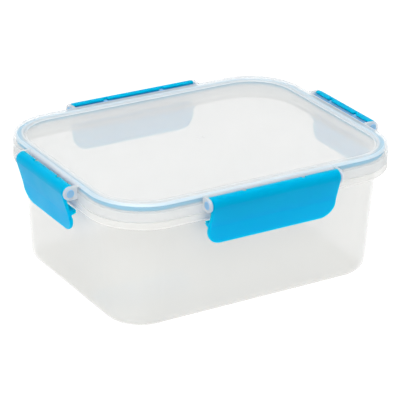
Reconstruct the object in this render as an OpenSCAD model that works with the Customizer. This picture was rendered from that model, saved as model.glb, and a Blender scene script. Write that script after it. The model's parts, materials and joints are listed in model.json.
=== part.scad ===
// Snap lid food container: tub, lid, sealing gasket and four hinged snap clips.
// Origin at the middle of the resting face, +Z up, long side along X, front towards -Y.

/* [Container] */
// Outside length of the lid skirt, without the clips
lid_length = 230; // [180:1:300]
// Outside width of the lid skirt, without the clips
lid_width = 178; // [150:1:240]
// Height from the resting face to the top of the lid rim
total_height = 95; // [70:1:150]
// Corner radius of the lid skirt, seen from above
corner_radius = 40; // [36:1:45]
// Wall and floor thickness of the tub
tub_wall = 1.6; // [1.2:0.1:2.2]
// How far the tub wall leans inwards from the flange to the floor
wall_draft = 5.3; // [2:0.1:8]
// Outside radius between the tub wall and the floor
floor_radius = 8; // [5:0.5:10]

/* [Lid] */
// Height of the lid skirt
skirt_height = 12.3; // [11:0.1:14]
// Wall thickness of the skirt, the rim and the panel
lid_wall = 1.6; // [1.2:0.1:2]
// Width of the raised rim around the panel
rim_width = 7.5; // [7:0.1:9]
// Depth of the panel below the rim
panel_recess = 1.8; // [0.8:0.1:2.2]
// Radius of the top outside edge of the lid
edge_radius = 3; // [2:0.1:3.4]

/* [Flange] */
// Height of the flange around the tub
flange_height = 4.9; // [4:0.1:6]
// Gap between the lid skirt and the flange
parting_gap = 0.3; // [0.1:0.05:0.5]

/* [Gasket] */
// Width of the gasket
gasket_width = 4; // [3.6:0.1:4.2]
// Height of the gasket
gasket_height = 3.4; // [3:0.1:3.6]

/* [Clips] */
// Length of the front and back clips
long_clip = 100; // [70:1:110]
// Length of the left and right clips
short_clip = 67; // [50:1:74]
// Outside radius of the roll around the hinge rod
roll_radius = 5; // [4.6:0.1:5]
// Distance of the hinge rod's axis from the skirt face
rod_out = 5.6; // [5.5:0.1:6.4]
// Radius of the hinge rod
rod_radius = 2.95; // [2.5:0.05:3]
// Running clearance between the rod and the roll
rod_clearance = 0.05; // [0.03:0.01:0.1]
// Thickness of the clip plate
plate_thickness = 2.2; // [1.8:0.1:2.4]
// Radius of the two lower corners of a clip
clip_corner = 11; // [6:0.5:14]

/* [Hidden] */
$fn = 96;

frosted = [0.93, 0.94, 0.93, 0.75];
frosted_lid = [0.94, 0.96, 0.97, 0.7];
sky_blue = [0.72, 0.86, 0.93];
clip_blue = [0.0, 0.66, 0.87];

// Centres of the corner arcs; every ring section is measured outwards from them
centre_x = lid_length / 2 - corner_radius;
centre_y = lid_width / 2 - corner_radius;

// Heights
skirt_bottom = total_height - skirt_height;
flange_top = skirt_bottom - parting_gap;
flange_bottom = flange_top - flange_height;
panel_top = total_height - panel_recess;
panel_bottom = panel_top - lid_wall;
gasket_top = total_height - lid_wall - 0.1;
gasket_bottom = gasket_top - gasket_height;
rod_z = total_height - roll_radius;

// Ring section of the lid and gasket, outwards from the corner centres
skirt_inner = corner_radius - 1.8;
step_out = corner_radius - rim_width;
step_in = step_out - 0.8;
lip_inner = step_out - 0.5;
lip_outer = lip_inner + 1.3;
lip_drop = 9.5;
gasket_inner = lip_outer + 0.3;
gasket_outer = gasket_inner + gasket_width;
channel_outer = gasket_outer + 0.2;
groove_depth = 0.5;

// Ring section of the tub
rim_inner = gasket_inner + (gasket_width - 1.8) / 2;
rim_outer = rim_inner + 1.8;
rim_top = gasket_bottom - 0.1 + groove_depth;
ledge_bottom = flange_top - tub_wall;
wall_out = corner_radius - 7.4;
draft_angle = atan(wall_draft / ledge_bottom);
fillet_out = wall_out - wall_draft + floor_radius * tan(draft_angle) - floor_radius / cos(draft_angle);

// Clip profile: u outwards and v upwards from the rod's axis
upper_lean = 16.5;
lower_lean = 12.5;
crease_v = -16;
tab_v = -29.2;
tab_thickness = 2.8;
bead_radius = 1.5;
hook_tip_u = 0.15 - rod_out;
hook_top_v = flange_bottom - rod_z - 0.8;
hook_root_v = hook_top_v - 3.4;
prong = 0.9;
prong_gap = 0.5;
prong_depth = 1.6;
opening_start = 118;
opening_end = 270;
notch_arc = 30;
notch_width = 3.2;
web_width = 2;
web_top_v = -1.2;
web_bottom_v = -3.6;
web_place = 0.23;
cheek_thickness = 2;
cheek_gap = 0.3;
bore_radius = rod_radius + rod_clearance;
end_overlap = 0.1;
far = 30;

// ---------- shared shapes ----------

// Sweeps a section around the rounded rectangle through the corner centres
module ring() {
    corners = [[1, 1], [-1, 1], [-1, -1], [1, -1]];
    for (k = [0:3]) {
        side = k % 2 == 0 ? 2 * centre_y : 2 * centre_x;
        translate([corners[k][0] * centre_x, corners[k][1] * centre_y, 0]) {
            rotate([0, 0, 90 * k]) rotate_extrude(angle = 90) children();
            rotate([90, 0, 90 * k]) linear_extrude(side) children();
        }
    }
}

// Flat middle of the floor or the panel, between the corner centres
module middle(bottom, thickness) {
    translate([-centre_x, -centre_y, bottom]) cube([2 * centre_x, 2 * centre_y, thickness]);
}

// Puts a shape drawn with x along the side and y outwards onto one side of the skirt
module on_side(name) {
    place = name == "front" ? [0, -lid_width / 2, 180]
        : name == "back" ? [0, lid_width / 2, 0]
        : name == "left" ? [-lid_length / 2, 0, 90]
        : [lid_length / 2, 0, -90];
    translate([place[0], place[1], 0]) rotate([0, 0, place[2]]) children();
}

// Turns a (u, v) section about the rod's axis into a bar of the given length along x
module bar(length) {
    translate([length / 2, rod_out, rod_z]) rotate([90, 0, -90]) mirror([1, 0, 0]) linear_extrude(length) children();
}

// ---------- tub ----------

// Filled section of the tub up to the ledge, with its floor radius about one centre
module tub_block(radius, out) {
    tangent = [fillet_out + radius * cos(draft_angle), floor_radius - radius * sin(draft_angle)];
    translate([0, floor_radius - radius]) square([fillet_out, ledge_bottom - floor_radius + radius]);
    translate([fillet_out, floor_radius]) circle(radius);
    polygon([[fillet_out, floor_radius], tangent, [out, ledge_bottom], [fillet_out, ledge_bottom]]);
}

module tub_section() {
    inner_out = wall_out - tub_wall / cos(draft_angle);
    difference() {
        tub_block(floor_radius, wall_out);
        tub_block(floor_radius - tub_wall, inner_out);
    }
    translate([inner_out, ledge_bottom]) square([corner_radius - inner_out, tub_wall]);
    translate([corner_radius - tub_wall, flange_bottom]) square([tub_wall, flange_height]);
    translate([rim_inner, ledge_bottom]) square([rim_outer - rim_inner, rim_top - ledge_bottom]);
}

module tub() {
    color(frosted) {
        ring() tub_section();
        middle(0, tub_wall);
    }
}

// ---------- lid ----------

module lid_section() {
    difference() {
        union() {
            translate([0, skirt_bottom]) square([corner_radius, skirt_height - edge_radius]);
            translate([0, total_height - edge_radius]) square([corner_radius - edge_radius, edge_radius]);
            translate([corner_radius - edge_radius, total_height - edge_radius]) circle(edge_radius);
        }
        // Recess over the panel, with a leaning step
        polygon([[-1, total_height + 1], [-1, panel_top], [step_in, panel_top],
            [step_out, total_height], [step_out, total_height + 1]]);
        // Room under the panel
        translate([-1, skirt_bottom - 1]) square([lip_inner + 1, panel_bottom - skirt_bottom + 1]);
        // Room under the inner lip
        translate([-1, skirt_bottom - 1]) square([skirt_inner + 1, skirt_height - lip_drop + 1]);
        // Gasket channel
        translate([lip_outer, skirt_bottom - 1]) square([channel_outer - lip_outer, gasket_top - skirt_bottom + 1.1]);
        // Room for the tub's rim below the channel
        translate([lip_outer, skirt_bottom - 1]) square([skirt_inner - lip_outer, gasket_bottom - skirt_bottom]);
    }
}

// Rod with its two end cheeks and two webs, moulded with the lid
module hinge_rod(clip_length) {
    span = clip_length + 2 * cheek_gap;
    bar(span + 2 * cheek_thickness) circle(rod_radius);
    for (end = [-1, 1]) {
        translate([end * (span + cheek_thickness) / 2, 0, 0]) bar(cheek_thickness) {
            circle(roll_radius - 0.2);
            translate([-rod_out - 1, -roll_radius + 0.2]) square([rod_out + 1, 2 * roll_radius - 0.4]);
        }
        translate([end * web_place * clip_length, 0, 0]) bar(web_width)
            translate([-rod_out - 1, web_bottom_v]) square([rod_out - 0.5, web_top_v - web_bottom_v]);
    }
}

module lid() {
    color(frosted_lid) {
        ring() lid_section();
        middle(panel_bottom, lid_wall);
        on_side("front") hinge_rod(long_clip);
        on_side("back") hinge_rod(long_clip);
        on_side("left") hinge_rod(short_clip);
        on_side("right") hinge_rod(short_clip);
    }
}

// ---------- gasket ----------

module gasket_section() {
    difference() {
        translate([gasket_inner, gasket_bottom]) square([gasket_width, gasket_height]);
        translate([rim_inner - 0.2, gasket_bottom - 1]) square([rim_outer - rim_inner + 0.4, groove_depth + 1]);
    }
}

module gasket() {
    color(sky_blue) ring() gasket_section();
}

// ---------- clips ----------

// Half plane fan between two angles about the rod's axis
module fan(start, end) {
    polygon(concat([[0, 0]], [for (a = [start:(end - start) / 4:end]) far * [cos(a), sin(a)]]));
}

// Section of a clip: roll, leaning plate, forked hook and thickened lower edge
module clip_section() {
    upper = [cos(upper_lean), -sin(upper_lean)];
    lower = [cos(lower_lean), -sin(lower_lean)];
    face_top = roll_radius * upper;
    crease = [face_top[0] + (crease_v - face_top[1]) * tan(upper_lean), crease_v];
    face_bottom = [crease[0] + (tab_v - crease_v) * tan(lower_lean), tab_v];
    back_top = face_top - plate_thickness * upper;
    back_crease = crease - plate_thickness * upper;
    back_bottom = face_bottom - tab_thickness * lower;
    difference() {
        union() {
            difference() {
                circle(roll_radius);
                fan(opening_start, opening_end);
            }
            polygon([face_top, back_top, back_crease, back_bottom, face_bottom, crease]);
            translate((face_bottom + back_bottom) / 2) circle(bead_radius);
            polygon([[back_crease[0] + 0.9, hook_top_v], [hook_tip_u, hook_top_v],
                [hook_tip_u, hook_top_v - 2 * prong - prong_gap],
                [hook_tip_u + 2, hook_root_v + 0.4], [back_crease[0] - 0.35, hook_root_v],
                [back_crease[0] + 0.9, hook_root_v]]);
        }
        circle(bore_radius);
        translate([hook_tip_u - 1, hook_top_v - prong - prong_gap]) square([prong_depth + 1, prong_gap]);
    }
}

// Face view of a clip with its rounded lower corners, y up from the rod's axis, standing past the clip's ends
module clip_outline(clip_length) {
    bottom = tab_v - bead_radius;
    flat = clip_length / 2 - clip_corner + end_overlap;
    translate([-clip_length / 2 - 1, bottom + clip_corner]) square([clip_length + 2, far - bottom]);
    translate([-flat, bottom]) square([2 * flat, clip_corner + 1]);
    for (side = [-1, 1]) translate([side * flat, bottom + clip_corner]) circle(clip_corner);
}

module clip(clip_length) {
    difference() {
        intersection() {
            bar(clip_length) clip_section();
            translate([0, rod_out + far / 2, rod_z]) rotate([90, 0, 0])
                linear_extrude(far) clip_outline(clip_length);
        }
        for (side = [-1, 1]) translate([side * web_place * clip_length, 0, 0])
            bar(notch_width) fan(opening_start - notch_arc, opening_start + 90);
    }
}

module clip_front() { color(clip_blue) on_side("front") clip(long_clip); }
module clip_back() { color(clip_blue) on_side("back") clip(long_clip); }
module clip_left() { color(clip_blue) on_side("left") clip(short_clip); }
module clip_right() { color(clip_blue) on_side("right") clip(short_clip); }

tub();
lid();
gasket();
clip_front();
clip_back();
clip_left();
clip_right();
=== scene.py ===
"""Looks of the snap lid food container: each piece is a finished mesh built in the part's own frame."""

import json
import math

import bpy
from mathutils import Matrix, Vector


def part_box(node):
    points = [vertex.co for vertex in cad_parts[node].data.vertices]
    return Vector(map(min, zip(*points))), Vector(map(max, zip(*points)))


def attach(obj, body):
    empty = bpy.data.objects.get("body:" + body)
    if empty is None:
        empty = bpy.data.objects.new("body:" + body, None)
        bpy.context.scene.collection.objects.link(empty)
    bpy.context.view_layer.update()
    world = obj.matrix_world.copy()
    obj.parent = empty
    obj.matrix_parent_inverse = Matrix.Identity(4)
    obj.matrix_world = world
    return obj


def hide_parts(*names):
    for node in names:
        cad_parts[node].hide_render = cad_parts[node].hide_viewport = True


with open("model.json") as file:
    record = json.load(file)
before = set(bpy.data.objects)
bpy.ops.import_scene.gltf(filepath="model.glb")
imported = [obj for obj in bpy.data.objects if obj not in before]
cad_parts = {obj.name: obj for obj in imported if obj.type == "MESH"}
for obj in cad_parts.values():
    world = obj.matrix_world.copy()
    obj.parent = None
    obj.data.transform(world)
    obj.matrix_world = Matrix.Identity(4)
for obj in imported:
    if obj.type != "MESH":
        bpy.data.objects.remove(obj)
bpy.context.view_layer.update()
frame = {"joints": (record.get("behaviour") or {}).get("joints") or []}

MM = 0.001


def box_mm(node):
    """Lowest and highest corner of a CAD node in millimetres."""
    low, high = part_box(node)
    return low / MM, high / MM


TUB_LOW, TUB_HIGH = box_mm("tub")
LID_LOW, LID_HIGH = box_mm("lid")
GASKET_LOW, GASKET_HIGH = box_mm("gasket")
HINGES = {j["child"]: Vector(j["pos_m"]) / MM for j in frame["joints"] if j["type"] == "hinge"}

# Plan of the container: sections are drawn outwards from the centres of the corner arcs
CORNER = 40.0
CENTRE_X = TUB_HIGH.x - CORNER
CENTRE_Y = TUB_HIGH.y - CORNER
ARC_STEPS = 28
FLAT_EDGE = 14.0  # where a section stops and the flat floor or panel begins

# Tub section
WALL = 1.6
FLANGE_GAP = 0.3
FLANGE_TOP = LID_LOW.z - FLANGE_GAP
FLANGE_HEIGHT = 4.9
LEDGE_BOTTOM = FLANGE_TOP - WALL
WALL_OUT = CORNER - 7.4
WALL_DRAFT = 5.3
FLOOR_RADIUS = 8.0

# Lid section
PANEL_TOP = LID_HIGH.z - 1.8
PANEL_BOTTOM = PANEL_TOP - 1.6
STEP_OUT = CORNER - 7.5
STEP_IN = STEP_OUT - 0.8
SKIRT_IN = CORNER - 1.8
LIP_OUT = STEP_OUT + 0.8
LIP_IN = LIP_OUT - 1.3
LIP_BOTTOM = LID_HIGH.z - 9.5
EDGE_RADIUS = 3.0

# Gasket section
GASKET_OUT = GASKET_HIGH.x - CENTRE_X
GASKET_IN = GASKET_OUT - 4.0
RIM_OUT = GASKET_OUT - 1.1
RIM_IN = GASKET_IN + 1.1

# Clip section, u outwards and v upwards from the rod's axis
ROD_OUT = 5.6
ROLL_RADIUS = 5.0
ROD_RADIUS = 2.95
BORE_RADIUS = 3.0
PLATE = 2.2
TAB = 2.8
BEAD_RADIUS = 1.5
UPPER_LEAN = 16.5
LOWER_LEAN = 12.5
CREASE_V = -16.0
TAB_V = -29.2
HOOK_TOP_V = FLANGE_TOP - FLANGE_HEIGHT - HINGES["clip_front"].z - 0.8
HOOK_TIP_U = 0.15 - ROD_OUT
PRONG = 0.9
PRONG_GAP = 0.5
PRONG_DEPTH = 1.6
ROLL_START = 118.0
NOTCH_ARC = 30.0
NOTCH_WIDTH = 3.2
NOTCH_PLACE = 0.23
CLIP_CORNER = 11.0
END_ROUND_OUT = 1.1
END_ROUND_AIM = 15.0  # direction the full round faces, upwards from straight out
END_ROUND_IN = 0.22

# Cheeks and rod ends
CHEEK_GAP = 0.3
CHEEK = 2.0
ROD_PROUD = 0.25


# ---------- outlines and skins ----------

def polar(radius, angle):
    """Point at a distance and an angle in degrees."""
    return radius * math.cos(math.radians(angle)), radius * math.sin(math.radians(angle))


def arc(radius, start, end, count):
    """Points along an arc about the origin, both ends included, as corners with no rounding."""
    return [(*polar(radius, start + (end - start) * k / count), 0) for k in range(count + 1)]


def rounded(corners, closed=True, steps=5):
    """Outline through (a, b, radius) corners, each corner rounded by its radius."""
    points = []
    for i, (a, b, radius) in enumerate(corners):
        here = Vector((a, b))
        end = not closed and i in (0, len(corners) - 1)
        if radius == 0 or end:
            points.append(here)
            continue
        back = (Vector(corners[i - 1][:2]) - here).normalized()
        ahead = (Vector(corners[(i + 1) % len(corners)][:2]) - here).normalized()
        half = back.angle(ahead) / 2
        centre = here + (back + ahead).normalized() * radius / math.sin(half)
        first = here + back * radius / math.tan(half) - centre
        last = here + ahead * radius / math.tan(half) - centre
        turn = math.atan2(first.cross(last), first.dot(last))
        for k in range(steps + 1):
            points.append(centre + Matrix.Rotation(turn * k / steps, 2) @ first)
    return points


def inwards_at(outline):
    """Step inwards that keeps the walls parallel, for each point of a closed counter-clockwise outline."""
    steps = []
    for i, here in enumerate(outline):
        back = (here - outline[i - 1]).normalized()
        ahead = (outline[(i + 1) % len(outline)] - here).normalized()
        inwards = (Vector((-back.y, back.x)) + Vector((-ahead.y, ahead.x))).normalized()
        steps.append(inwards / max(0.5, inwards.dot(Vector((-back.y, back.x)))))
    return steps


def inset(outline, distances):
    """Closed counter-clockwise outline with each point moved inwards by its own small distance."""
    return [here + step * distance for here, step, distance in zip(outline, inwards_at(outline), distances)]


def skin(name, rows, closed=False, place=Matrix.Identity(4)):
    """Closed mesh through rows of points in millimetres; open ends are capped."""
    count = len(rows[0])
    points = [place @ (Vector(p) * MM) for row in rows for p in row]
    faces = []
    for i in range(len(rows) - (0 if closed else 1)):
        here = i * count
        up = (i + 1) % len(rows) * count
        for k in range(count):
            after = (k + 1) % count
            faces.append((here + k, here + after, up + after, up + k))
    if not closed:
        faces.append(tuple(reversed(range(count))))
        faces.append(tuple(range(len(points) - count, len(points))))
    mesh = bpy.data.meshes.new(name)
    mesh.from_pydata(points, [], faces)
    mesh.validate()
    piece = bpy.data.objects.new(name, mesh)
    bpy.context.scene.collection.objects.link(piece)
    return piece


def smooth(piece, sharp_angle=38):
    """Smooth shading with true edges kept, and flat faces that stay flat."""
    mesh = piece.data
    mesh.polygons.foreach_set("use_smooth", [True] * len(mesh.polygons))
    mesh.set_sharp_from_angle(angle=math.radians(sharp_angle))
    weighted = piece.modifiers.new("weighted_normals", "WEIGHTED_NORMAL")
    weighted.keep_sharp = True


def ring_loop(out, height):
    """Loop around the container at a distance outwards from the corner centres."""
    loop = []
    for corner, (side_x, side_y) in enumerate(((1, 1), (-1, 1), (-1, -1), (1, -1))):
        for step in range(ARC_STEPS + 1):
            x, y = polar(out, 90 * (corner + step / ARC_STEPS))
            loop.append((side_x * CENTRE_X + x, side_y * CENTRE_Y + y, height))
    return loop


def disc_loop(radius, height):
    """Circle about the middle with one point for each point of ring_loop."""
    loop = []
    for x, y, _ in ring_loop(FLAT_EDGE, 0):
        reach = radius / math.hypot(x, y)
        loop.append((x * reach, y * reach, height))
    return loop


def gate_mark(height, into):
    """Small moulding gate mark in a flat face: a shallow ring with a raised middle."""
    levels = ((4.0, 0), (3.2, 0), (2.7, 0.25), (1.3, 0.3), (0.9, 0.12))
    return [disc_loop(radius, height + into * depth) for radius, depth in levels]


# ---------- tub, lid and gasket ----------

def tub_rows():
    lean = math.atan(WALL_DRAFT / LEDGE_BOTTOM)
    inner_out = WALL_OUT - WALL / math.cos(lean)
    inner_foot = inner_out - WALL_DRAFT * (LEDGE_BOTTOM - WALL) / LEDGE_BOTTOM
    lip_in = CORNER - WALL
    lip_bottom = FLANGE_TOP - FLANGE_HEIGHT
    outline = rounded([
        (FLAT_EDGE, 0, 0),
        (WALL_OUT - WALL_DRAFT, 0, FLOOR_RADIUS),
        (WALL_OUT, LEDGE_BOTTOM, 1.2),
        (lip_in, LEDGE_BOTTOM, 0.8),
        (lip_in, lip_bottom, 0.5),
        (CORNER, lip_bottom, 0.6),
        (CORNER, FLANGE_TOP, 0.5),
        (RIM_OUT, FLANGE_TOP, 0.6),
        (RIM_OUT, TUB_HIGH.z, 0.7),
        (RIM_IN, TUB_HIGH.z, 0.7),
        (RIM_IN, FLANGE_TOP, 1.0),
        (inner_out, FLANGE_TOP, 0.9),
        (inner_foot, WALL, FLOOR_RADIUS - WALL),
        (FLAT_EDGE, WALL, 0),
    ], closed=False)
    walls = [ring_loop(out, height) for out, height in outline]
    return list(reversed(gate_mark(0, 1))) + walls + gate_mark(WALL, -0.5)


def lid_rows():
    channel_out = GASKET_OUT + 0.2
    channel_top = GASKET_HIGH.z + 0.1
    outline = rounded([
        (FLAT_EDGE, PANEL_BOTTOM, 0),
        (LIP_IN, PANEL_BOTTOM, 0.6),
        (LIP_IN, LIP_BOTTOM, 0.5),
        (LIP_OUT, LIP_BOTTOM, 0.5),
        (LIP_OUT, channel_top, 0.3),
        (channel_out, channel_top, 0.3),
        (channel_out, GASKET_LOW.z - 1, 0.18),
        (SKIRT_IN, GASKET_LOW.z - 1, 0.18),
        (SKIRT_IN, LID_LOW.z, 0.5),
        (CORNER, LID_LOW.z, 0.6),
        (CORNER, LID_HIGH.z, EDGE_RADIUS),
        (STEP_OUT, LID_HIGH.z, 0.8),
        (STEP_IN, PANEL_TOP, 0.6),
        (FLAT_EDGE, PANEL_TOP, 0),
    ], closed=False, steps=6)
    walls = [ring_loop(out, height) for out, height in outline]
    return list(reversed(gate_mark(PANEL_BOTTOM, 0.5))) + walls + gate_mark(PANEL_TOP, -1)


def gasket_rows():
    groove_top = TUB_HIGH.z + 0.1
    outline = rounded([
        (GASKET_IN, GASKET_LOW.z, 0.3),
        (RIM_IN - 0.2, GASKET_LOW.z, 0.2),
        (RIM_IN - 0.2, groove_top, 0.2),
        (RIM_OUT + 0.2, groove_top, 0.2),
        (RIM_OUT + 0.2, GASKET_LOW.z, 0.2),
        (GASKET_OUT, GASKET_LOW.z, 0.3),
        (GASKET_OUT, GASKET_HIGH.z, 0.7),
        (GASKET_IN, GASKET_HIGH.z, 0.7),
    ])
    return [ring_loop(out, height) for out, height in outline]


# ---------- hinges ----------

def side_place(clip):
    """Matrix from (along, outwards, upwards) about a clip's rod to the container."""
    pivot = HINGES[clip]
    out = Vector((pivot.x, pivot.y, 0)).normalized()
    up = Vector((0, 0, 1))
    turn = Matrix((out.cross(up), out, up)).transposed().to_4x4()
    return Matrix.Translation(pivot * MM) @ turn


def clip_length(clip):
    low, high = box_mm(clip)
    return max(high.x - low.x, high.y - low.y)


def bar_rows(outline, low, high, edge, steps=4):
    """Loops of a bar along the rod with its two ends rounded."""
    rows = []
    for k in range(steps + 1):
        turn = math.pi / 2 * k / steps
        loop = inset(outline, [edge * (1 - math.sin(turn))] * len(outline))
        rows.append([(low + edge * (1 - math.cos(turn)), p.x, p.y) for p in loop])
    return rows + [[(low + high - along, u, v) for along, u, v in row] for row in reversed(rows)]


def cheek_outline():
    """Round end of a cheek with a straight root that runs into the skirt."""
    radius = ROLL_RADIUS - 0.2
    root = -ROD_OUT - 1
    nose = [Vector(p[:2]) for p in arc(radius, -90, 90, 24)]
    return [Vector((root, -radius))] + nose + [Vector((root, radius))]


def web_outline():
    root = -ROD_OUT - 1
    return rounded([(root, -3.6, 0.2), (-1.1, -3.6, 0.2), (-1.1, -1.2, 0.2), (root, -1.2, 0.2)], steps=3)


def hinge_parts(clip):
    """Cheeks and webs of one side, as pieces that are joined to the lid."""
    length = clip_length(clip)
    place = side_place(clip)
    parts = []
    for side in (-1, 1):
        middle = side * (length / 2 + CHEEK_GAP + CHEEK / 2)
        rows = bar_rows(cheek_outline(), middle - CHEEK / 2, middle + CHEEK / 2, 0.4)
        parts.append(skin("cheek", rows, place=place))
        middle = side * NOTCH_PLACE * length
        rows = bar_rows(web_outline(), middle - 1, middle + 1, 0.15)
        parts.append(skin("web", rows, place=place))
    return parts


def rod(clip):
    """Hinge rod through the two cheeks of one side, its ends standing a little proud of them."""
    half = clip_length(clip) / 2 + CHEEK_GAP + CHEEK + ROD_PROUD
    outline = [Vector(p[:2]) for p in arc(ROD_RADIUS, 0, 352.5, 47)]
    name = clip.replace("clip", "hinge_rod")
    return skin(name, bar_rows(outline, -half, half, 0.5), place=side_place(clip))


def join_to(piece, parts):
    """Makes one closed solid of a piece and the parts that grow out of it."""
    for part in parts:
        union = piece.modifiers.new("union", "BOOLEAN")
        union.operation = "UNION"
        union.solver = "EXACT"
        union.object = part
    bpy.context.view_layer.update()
    evaluated = piece.evaluated_get(bpy.context.evaluated_depsgraph_get())
    mesh = bpy.data.meshes.new_from_object(evaluated)
    piece.modifiers.clear()
    piece.data = mesh
    for part in parts:
        bpy.data.objects.remove(part)


# ---------- clips ----------

def clip_section(tab_v, roll_start):
    """Closed outline of a clip: roll, leaning plate, forked hook and rounded lower edge."""
    upper = Vector(polar(1, -UPPER_LEAN))
    lower = Vector(polar(1, -LOWER_LEAN))
    face_top = ROLL_RADIUS * upper
    crease = Vector((face_top.x + (CREASE_V - face_top.y) * math.tan(math.radians(UPPER_LEAN)), CREASE_V))
    face_end = Vector((crease.x + (tab_v - CREASE_V) * math.tan(math.radians(LOWER_LEAN)), tab_v))
    back_crease = crease - PLATE * upper
    back_end = face_end - TAB * lower
    down = Vector((lower.y, -lower.x))
    tip = HOOK_TIP_U
    prong_v = HOOK_TOP_V - PRONG
    hook_low = HOOK_TOP_V - 2 * PRONG - PRONG_GAP
    back_angle = -UPPER_LEAN - math.degrees(math.acos((ROLL_RADIUS - PLATE) / ROLL_RADIUS))
    hook_u = back_crease.x + (HOOK_TOP_V - CREASE_V) * math.tan(math.radians(UPPER_LEAN))
    corners = []
    corners += [(*polar(BORE_RADIUS, roll_start), 0.35)]
    corners += arc(BORE_RADIUS, roll_start - 9, -81, 30)
    corners += [(*polar(BORE_RADIUS, -90), 0.3)]
    corners += [(*polar(ROLL_RADIUS, -90), 0.4)]
    corners += [(*polar(ROLL_RADIUS, back_angle), 0.5)]
    corners += [(hook_u, HOOK_TOP_V, 0.6), (tip, HOOK_TOP_V, 0.35), (tip, prong_v, 0.26)]
    corners += [(tip + PRONG_DEPTH, prong_v, 0.2), (tip + PRONG_DEPTH, prong_v - PRONG_GAP, 0.2)]
    corners += [(tip, prong_v - PRONG_GAP, 0.26), (tip, hook_low, 0.3)]
    corners += [(tip + 2, HOOK_TOP_V - 3, 0.8), (back_crease.x - 0.35, HOOK_TOP_V - 3.5, 0.6)]
    corners += [(*(back_end + down * BEAD_RADIUS), BEAD_RADIUS * 0.78)]
    corners += [(*(face_end + down * BEAD_RADIUS), BEAD_RADIUS * 0.78)]
    corners += [(*crease, 2.5)]
    corners += arc(ROLL_RADIUS, -UPPER_LEAN, roll_start - 7, 30)
    corners += [(*polar(ROLL_RADIUS, roll_start), 0.4)]
    return rounded(corners, steps=6)


def ease(t):
    t = max(0.0, min(1.0, t))
    return t * t * (3 - 2 * t)


def roll_lead(along, length):
    """Where the roll starts at a place along the clip, with its two notches."""
    distance = abs(abs(along) - NOTCH_PLACE * length) - NOTCH_WIDTH / 2
    return ROLL_START - NOTCH_ARC * ease(0.5 - distance / 0.6)


def clip_rise(along, length):
    """How far the rounded lower corners lift the lower edge at a place along the clip."""
    past = abs(along) - (length / 2 - CLIP_CORNER)
    if past <= 0:
        return 0.0
    return CLIP_CORNER - math.sqrt(max(0.0, CLIP_CORNER ** 2 - past ** 2))


def round_depth(reach, radius):
    """How far a rounded end has drawn in at a distance from the end."""
    return radius - math.sqrt(radius ** 2 - max(0.0, radius - reach) ** 2)


def end_insets(outline, reach):
    """Inset of each point near a clip's end: a full round on the face and the roll, a fine edge inside."""
    outer = round_depth(reach, END_ROUND_OUT)
    inner = round_depth(reach, END_ROUND_IN)
    insets = []
    for point, step in zip(outline, inwards_at(outline)):
        outside_bore = ease((point.length - BORE_RADIUS) / 1.6)
        facing_out = ease(-step.normalized().dot(Vector(polar(1, END_ROUND_AIM))) / 0.5 - 0.6)
        insets.append(inner + (outer - inner) * outside_bore * facing_out)
    return insets


def clip_places(length):
    """Places along a clip: close together at the ends, the corners and the notches."""
    half = length / 2
    places = {0.0}
    for k in range(17):
        places.add(half - CLIP_CORNER * (1 - math.sin(math.pi / 2 * k / 16)))
    for radius in (END_ROUND_OUT, END_ROUND_IN):
        places.update(half - radius * (1 - math.sin(math.pi / 2 * k / 5)) for k in range(5))
    for edge in (-1, 1):
        middle = NOTCH_PLACE * length + edge * NOTCH_WIDTH / 2
        places.update(middle + 0.3 * k / 3 for k in range(-3, 4))
    places.update(length * k / 12 for k in range(1, 5))
    return sorted(places | {-p for p in places})


def clip_rows(length):
    """Cross-sections of a clip, from one end to the other."""
    rows = []
    for along in clip_places(length):
        loop = clip_section(TAB_V + clip_rise(along, length), roll_lead(along, length))
        loop = inset(loop, end_insets(loop, length / 2 - abs(along)))
        rows.append([(along, p.x, p.y) for p in loop])
    return rows


def clip_mesh(clip):
    return skin(clip + "_shell", clip_rows(clip_length(clip)), place=side_place(clip))


# ---------- materials ----------

def link(tree, source, target):
    tree.links.new(source, target)


def own_coordinates(tree):
    """Coordinates of the piece itself, in metres."""
    return tree.nodes.new("ShaderNodeTexCoord").outputs["Object"]


def noise(tree, scale, detail):
    """Noise in the piece's own coordinates; the scale is in features per metre."""
    texture = tree.nodes.new("ShaderNodeTexNoise")
    texture.inputs["Scale"].default_value = scale
    texture.inputs["Detail"].default_value = detail
    link(tree, own_coordinates(tree), texture.inputs["Vector"])
    return texture.outputs["Fac"]


def spread(tree, value, low, high):
    """Noise value stretched to a range."""
    node = tree.nodes.new("ShaderNodeMapRange")
    node.inputs["From Min"].default_value = 0.3
    node.inputs["From Max"].default_value = 0.7
    node.inputs["To Min"].default_value = low
    node.inputs["To Max"].default_value = high
    link(tree, value, node.inputs["Value"])
    return node.outputs["Result"]


def two_tone(tree, value, dark, light):
    """Colour that drifts between two tones."""
    node = tree.nodes.new("ShaderNodeMix")
    node.data_type = "RGBA"
    node.inputs["A"].default_value = (*dark, 1)
    node.inputs["B"].default_value = (*light, 1)
    link(tree, spread(tree, value, 0, 1), node.inputs["Factor"])
    return node.outputs["Result"]


def bump(tree, heights):
    """Chain of bumps from (height, strength, distance), the distance in metres."""
    normal = None
    for height, strength, distance in heights:
        node = tree.nodes.new("ShaderNodeBump")
        node.inputs["Strength"].default_value = strength
        node.inputs["Distance"].default_value = distance
        link(tree, height, node.inputs["Height"])
        if normal:
            link(tree, normal, node.inputs["Normal"])
        normal = node.outputs["Normal"]
    return normal


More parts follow.
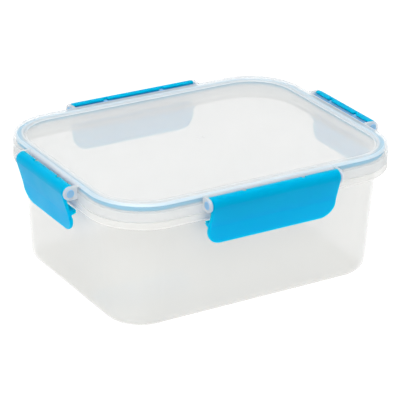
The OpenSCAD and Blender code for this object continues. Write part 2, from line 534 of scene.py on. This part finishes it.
def plastic(name, dark, light, gloss, **sockets):
    """Moulded material: two close tones, uneven gloss, fine grain and a slow waviness."""
    material = bpy.data.materials.new(name)
    material.use_nodes = True
    tree = material.node_tree
    shader = tree.nodes["Principled BSDF"]
    link(tree, two_tone(tree, noise(tree, 9, 1), dark, light), shader.inputs["Base Color"])
    link(tree, spread(tree, noise(tree, 60, 1), *gloss), shader.inputs["Roughness"])
    grain = noise(tree, 1500, 0)
    waves = noise(tree, 18, 0)
    heights = [(grain, 0.05, 0.00001), (waves, 0.2, 0.0002)]
    link(tree, bump(tree, heights), shader.inputs["Normal"])
    for socket, value in sockets.items():
        shader.inputs[socket.replace("_", " ")].default_value = value
    return material


def maths(tree, operation, first, second):
    """One maths node between a socket and a socket or number."""
    node = tree.nodes.new("ShaderNodeMath")
    node.operation = operation
    for socket, value in zip(node.inputs, (first, second)):
        if isinstance(value, (int, float)):
            socket.default_value = value
        else:
            link(tree, value, socket)
    return node.outputs[0]


def ring_coordinates(tree):
    """Distance outwards from the corner centres and height, both in metres, as the sections are drawn."""
    vector = own_coordinates(tree)
    height = tree.nodes.new("ShaderNodeSeparateXYZ")
    link(tree, vector, height.inputs[0])
    for operation, other in (("ABSOLUTE", None), ("SUBTRACT", (CENTRE_X * MM, CENTRE_Y * MM, 0)),
                             ("MAXIMUM", (0, 0, 0)), ("MULTIPLY", (1, 1, 0)), ("LENGTH", None)):
        node = tree.nodes.new("ShaderNodeVectorMath")
        node.operation = operation
        link(tree, vector, node.inputs[0])
        if other:
            node.inputs[1].default_value = other
        vector = node.outputs["Value" if operation == "LENGTH" else "Vector"]
    return vector, height.outputs["Z"]


def ramp_up(tree, value, start, end):
    """0 before start and 1 after end, in millimetres."""
    node = tree.nodes.new("ShaderNodeMapRange")
    node.interpolation_type = "SMOOTHSTEP"
    node.inputs["From Min"].default_value = start * MM
    node.inputs["From Max"].default_value = end * MM
    link(tree, value, node.inputs["Value"])
    return node.outputs["Result"]


def behind_clips(tree):
    """1 on the stretches of the lid that carry a hinge, 0 between them."""
    across = tree.nodes.new("ShaderNodeVectorMath")
    across.operation = "ABSOLUTE"
    link(tree, own_coordinates(tree), across.inputs[0])
    axes = tree.nodes.new("ShaderNodeSeparateXYZ")
    link(tree, across.outputs["Vector"], axes.inputs[0])
    x, y = axes.outputs["X"], axes.outputs["Y"]
    on_long_side = maths(tree, "GREATER_THAN", maths(tree, "SUBTRACT", y, x), (CENTRE_Y - CENTRE_X) * MM)
    on_short_side = maths(tree, "SUBTRACT", 1, on_long_side)
    along_x = maths(tree, "MULTIPLY", on_long_side, x)
    along = maths(tree, "ADD", along_x, maths(tree, "MULTIPLY", on_short_side, y))
    long, short = clip_length("clip_front") / 2 * MM, clip_length("clip_left") / 2 * MM
    reach = maths(tree, "ADD", maths(tree, "MULTIPLY", on_long_side, long - short), short)
    return maths(tree, "SUBTRACT", 1, ramp_up(tree, maths(tree, "SUBTRACT", along, reach), 0, 2))


def by_zone(tree, base, zones):
    """A value that is base, changed inside each zone of a section: (out, height, blur, value)."""
    out, height = ring_coordinates(tree)
    value = None
    for (out_low, out_high), (low, high), blur, wanted in zones:
        inside = maths(tree, "SUBTRACT", ramp_up(tree, out, out_low - blur, out_low + blur),
                       ramp_up(tree, out, out_high - blur, out_high + blur))
        level = maths(tree, "SUBTRACT", ramp_up(tree, height, low - blur, low + blur),
                      ramp_up(tree, height, high - blur, high + blur))
        share = maths(tree, "MULTIPLY", inside, level)
        change = maths(tree, "MULTIPLY", share, wanted - base)
        value = maths(tree, "ADD", change, value if value else base)
    return value


def scale_colour(tree, factor):
    """Multiplies the base colour by a factor."""
    colour = tree.nodes["Principled BSDF"].inputs["Base Color"]
    node = tree.nodes.new("ShaderNodeVectorMath")
    node.operation = "SCALE"
    link(tree, colour.links[0].from_socket, node.inputs[0])
    link(tree, factor, node.inputs["Scale"])
    link(tree, node.outputs["Vector"], colour)


def frosted_tub():
    """Frosted wall; the floor is denser and smoother, so a clip shows in it as a pale patch."""
    material = plastic("frosted_tub", (0.9, 0.896, 0.87), (0.93, 0.926, 0.9), (0.3, 0.42),
                       Specular_IOR_Level=1.6)
    tree = material.node_tree
    shader = tree.nodes["Principled BSDF"]
    flange_bottom = FLANGE_TOP - FLANGE_HEIGHT
    floor = ((-10, WALL_OUT - WALL_DRAFT - 4), (-6, WALL + 6), 4)
    zones = [
        (*floor, 0.78),
        ((WALL_OUT + 0.8, CORNER + 2), (flange_bottom - 2, TUB_HIGH.z + 2), 0.3, 0.45),
        ((CORNER - 1.2, CORNER + 2), (flange_bottom - 2, flange_bottom + 0.9), 0.4, 0.65),
    ]
    link(tree, by_zone(tree, 0.31, zones), shader.inputs["Alpha"])
    uneven = shader.inputs["Roughness"].links[0].from_socket
    smoother = by_zone(tree, 1.0, [(*floor, 0.12)])
    link(tree, maths(tree, "MULTIPLY", uneven, smoother), shader.inputs["Roughness"])
    # Painted light: the floor's colour is lifted to offset the shade inside the tub.
    scale_colour(tree, by_zone(tree, 1.0, [(*floor, 1.07)]))
    return material


def lid_density(tree):
    """Density of the lid: clear lip, milky panel, denser rim and skirt, and dense sides behind the clips."""
    panel = ((-10, STEP_IN - 0.5), (PANEL_BOTTOM - 2, LID_HIGH.z + 2), 1, 0.38)
    rim_inside = ((STEP_IN - 1, GASKET_IN + 0.6), (LID_HIGH.z - 3, LID_HIGH.z + 1), 0.5, 0.64)
    rim_middle = ((GASKET_IN + 0.6, GASKET_OUT - 0.6), (LID_HIGH.z - 1, LID_HIGH.z + 1), 0.5, 0.44)
    rim_outside = ((GASKET_OUT - 0.6, CORNER + 0.5), (LID_HIGH.z - 1.3, LID_HIGH.z + 1), 0.3, 0.66)
    skirt = ((CORNER - 9, CORNER + 0.5), (LID_LOW.z - 1, GASKET_LOW.z - 0.5), 0.5, 0.44)
    cheeks = ((CORNER + 0.5, CORNER + 12), (LID_LOW.z - 3, LID_HIGH.z + 1), 0.3, 0.5)
    hinge_side = ((GASKET_OUT, CORNER + 0.5), (GASKET_LOW.z, LID_HIGH.z + 1), 0.4, 0.75)
    density = by_zone(tree, 0.2, [panel, rim_inside, rim_middle, rim_outside, skirt, cheeks])
    behind = maths(tree, "MULTIPLY", by_zone(tree, 0.0, [hinge_side]), behind_clips(tree))
    return maths(tree, "MAXIMUM", density, behind)


def frosted_lid():
    """Frosted lid that lets light spread inside it; its panel and rim carry painted shade, a little darker
    than its skirt, to tone down the light from above.
    """
    material = plastic("frosted_lid", (0.9, 0.91, 0.91), (0.93, 0.935, 0.935), (0.3, 0.4),
                       Specular_IOR_Level=1.0, Subsurface_Weight=0.6, Subsurface_Scale=0.006,
                       Subsurface_Radius=(1, 1, 1))
    tree = material.node_tree
    link(tree, lid_density(tree), tree.nodes["Principled BSDF"].inputs["Alpha"])
    # Painted shade: the panel and rim colour is darkened to tone down the strong light from above.
    panel = ((-10, STEP_IN - 0.5), (PANEL_BOTTOM - 2, LID_HIGH.z + 2), 1, 0.86)
    rim = ((STEP_IN - 0.5, CORNER + 0.5), (LID_HIGH.z - 1.3, LID_HIGH.z + 2), 0.5, 0.91)
    scale_colour(tree, by_zone(tree, 1.0, [panel, rim]))
    return material


def rod_painted_clip_light():
    # Painted reflection: the rod is clear lid plastic, and its blue is the clip's blue light seen inside it,
    # painted into its colour.
    return plastic("rod_painted_clip_light", (0.24, 0.53, 0.82), (0.3, 0.59, 0.88), (0.3, 0.36), Alpha=0.75)


def gasket_silicone():
    """Deep tone, because the frosted lid over it pales it."""
    return plastic("gasket_silicone", (0.035, 0.525, 0.78), (0.055, 0.575, 0.84), (0.45, 0.6),
                   Specular_IOR_Level=0.3)


def clip_blue():
    """Blue plastic that scatters light under its surface, which brightens its edges."""
    return plastic("clip_blue", (0.0, 0.36, 0.745), (0.0, 0.38, 0.79), (0.3, 0.42),
                   Specular_IOR_Level=0.06, Specular_Tint=(0.0, 0.6, 1.0, 1), Subsurface_Weight=1.0,
                   Subsurface_Scale=0.014, Subsurface_Radius=(0.2, 0.9, 0.9))


def white_floor():
    return plastic("white_floor", (0.19, 0.19, 0.19), (0.21, 0.21, 0.21), (0.5, 0.6),
                   Emission_Color=(1, 1, 1, 1), Emission_Strength=0.88)


# ---------- stage ----------

def make_camera():
    """Camera at the viewing angle of the photograph, with a long lens."""
    azimuth = math.radians(-31.68)
    elevation = math.radians(23.92)
    roll = 0.022
    distance = 1.5121
    target = Vector((0, 0, 0.046))
    back = Vector((math.sin(azimuth) * math.cos(elevation), -math.cos(azimuth) * math.cos(elevation),
                   math.sin(elevation)))
    right = Vector((0, 0, 1)).cross(back).normalized()
    up = back.cross(right)
    rolled_right = math.cos(roll) * right + math.sin(roll) * up
    rolled_up = math.cos(roll) * up - math.sin(roll) * right
    turn = Matrix((rolled_right, rolled_up, back)).transposed().to_4x4()
    data = bpy.data.cameras.new("camera")
    data.lens = 194.6
    data.sensor_width = 36
    data.shift_x = 0.0025
    data.shift_y = 0.0007
    data.clip_end = 20
    camera = bpy.data.objects.new("camera", data)
    camera.matrix_world = Matrix.Translation(target + back * distance) @ turn
    bpy.context.scene.collection.objects.link(camera)
    bpy.context.scene.camera = camera


def area_light(name, place, size, watts):
    """Square soft light that faces the container."""
    data = bpy.data.lights.new(name, "AREA")
    data.size = size
    data.energy = watts
    light = bpy.data.objects.new(name, data)
    light.location = place
    light.rotation_euler = (Vector((0, 0, 0.05)) - Vector(place)).to_track_quat("-Z", "Y").to_euler()
    bpy.context.scene.collection.objects.link(light)


def make_lights():
    area_light("top_softbox", (-0.2, -0.3, 1.45), 1.2, 18)
    area_light("left_softbox", (-1.4, -0.5, 0.9), 0.9, 3)
    world = bpy.data.worlds.new("studio")
    world.use_nodes = True
    world.node_tree.nodes["Background"].inputs["Color"].default_value = (1, 1, 1, 1)
    world.node_tree.nodes["Background"].inputs["Strength"].default_value = 0.5
    bpy.context.scene.world = world


def make_floor():
    """Plain white floor, wide enough to fill every view."""
    half = 20.0
    corners = [(-half, -half, 0), (half, -half, 0), (half, half, 0), (-half, half, 0)]
    mesh = bpy.data.meshes.new("floor")
    mesh.from_pydata(corners, [], [(0, 1, 2, 3)])
    floor = bpy.data.objects.new("floor", mesh)
    floor.location.z = -0.0003
    mesh.materials.append(white_floor())
    bpy.context.scene.collection.objects.link(floor)


def set_look():
    """Plain colour handling, and enough see-through layers for nested frosted walls."""
    scene = bpy.context.scene
    scene.view_settings.view_transform = "Standard"
    scene.cycles.transparent_max_bounces = 48
    scene.cycles.max_bounces = 16
    scene.cycles.diffuse_bounces = 6


# ---------- the container ----------

def dress(piece, material, body, node):
    """Gives a finished piece its material in a material slot and its body, and hides the CAD node it
    replaces.
    """
    smooth(piece)
    piece.data.materials.clear()
    piece.data.materials.append(material)
    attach(piece, body)
    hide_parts(node)


def make_container():
    """Every visible piece, with the cheeks and webs made one with the lid."""
    dress(skin("tub_shell", tub_rows()), frosted_tub(), "tub", "tub")
    lid = skin("lid_shell", lid_rows())
    join_to(lid, [part for clip in HINGES for part in hinge_parts(clip)])
    dress(lid, frosted_lid(), "lid", "lid")
    ring = skin("gasket_ring", gasket_rows(), closed=True)
    dress(ring, gasket_silicone(), "lid", "gasket")
    rod_material = rod_painted_clip_light()
    clip_material = clip_blue()
    for clip in HINGES:
        dress(rod(clip), rod_material, "lid", "lid")
        dress(clip_mesh(clip), clip_material, clip, clip)


make_camera()
make_lights()
make_floor()
set_look()
make_container()
